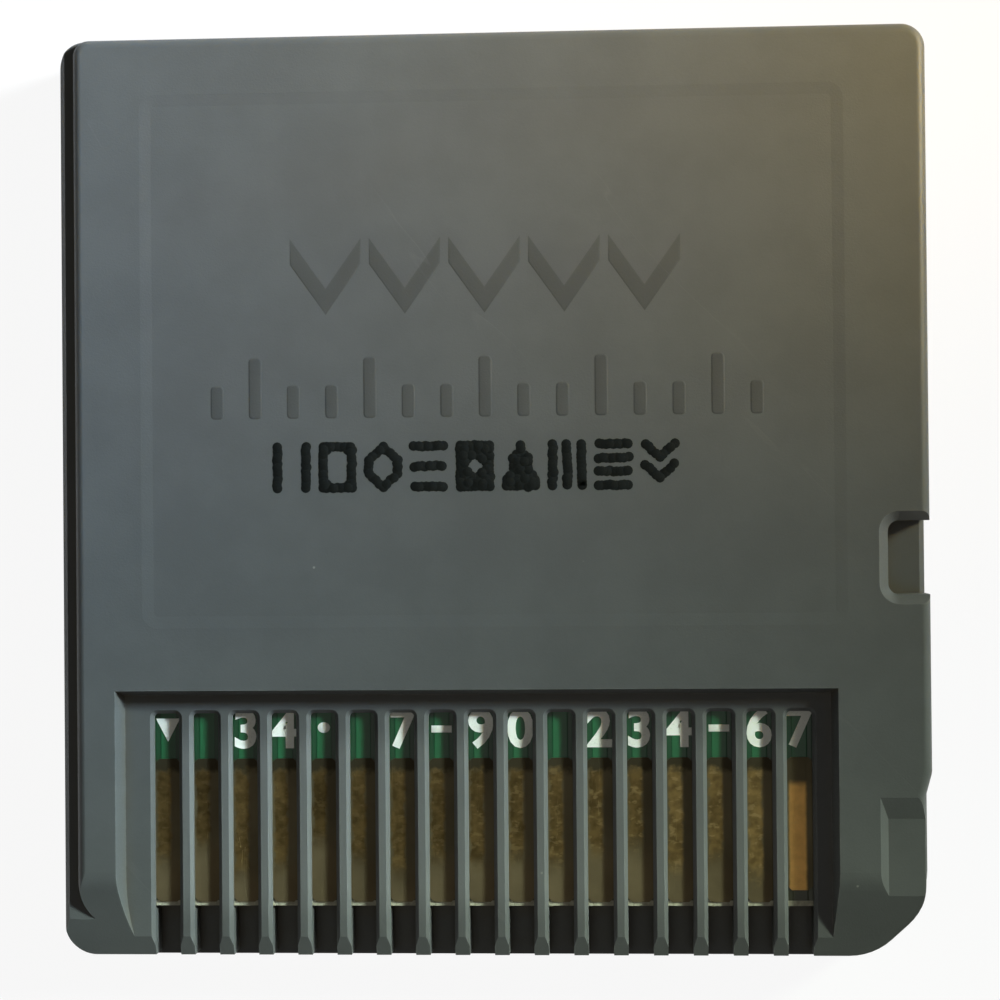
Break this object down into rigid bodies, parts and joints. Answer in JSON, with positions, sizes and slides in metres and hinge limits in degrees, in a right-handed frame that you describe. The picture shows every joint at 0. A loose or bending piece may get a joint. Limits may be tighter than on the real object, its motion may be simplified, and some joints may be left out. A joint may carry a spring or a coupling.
{
  "type": "game cartridge",
  "caption": "Flat moulded game cartridge for a handheld console: two shells over a small board, with a ribbed contact window, a latch notch and a keyed corner.",
  "frame": {"origin": "centre of the card's footprint, on the front face that it lies on", "axes": "+X to the right seen from the contact side, +Y from the contact edge to the top edge, +Z out of the rear face with the contact window"},
  "size_m": [0.033, 0.035, 0.0038],
  "materials": {
    "shell_plastic": "fine matte moulded grey",
    "board_green": "green solder mask on glass-fibre board",
    "contact_gold": "worn, dulled gold plating",
    "package_black": "moulded black epoxy",
    "tinned_lead": "dull tin",
    "capacitor_ceramic": "tan fired ceramic"
  },
  "bodies": {
    "root": {"front_shell": "shell_plastic", "rear_shell": "shell_plastic", "circuit_board": "board_green", "contact_01": "contact_gold", "contact_02": "contact_gold", "contact_03": "contact_gold", "contact_04": "contact_gold", "contact_05": "contact_gold", "contact_06": "contact_gold", "contact_07": "contact_gold", "contact_08": "contact_gold", "contact_09": "contact_gold", "contact_10": "contact_gold", "contact_11": "contact_gold", "contact_12": "contact_gold", "contact_13": "contact_gold", "contact_14": "contact_gold", "contact_15": "contact_gold", "contact_16": "contact_gold", "contact_17": "contact_gold", "memory_chip": "package_black", "save_chip": "package_black", "memory_chip_leads": "tinned_lead", "save_chip_leads": "tinned_lead", "capacitor_1_body": "capacitor_ceramic", "capacitor_1_terminals": "tinned_lead", "capacitor_2_body": "capacitor_ceramic", "capacitor_2_terminals": "tinned_lead", "capacitor_3_body": "capacitor_ceramic", "capacitor_3_terminals": "tinned_lead", "resistor_1_body": "package_black", "resistor_1_terminals": "tinned_lead", "resistor_2_body": "package_black", "resistor_2_terminals": "tinned_lead"}
  },
  "joints": []
}
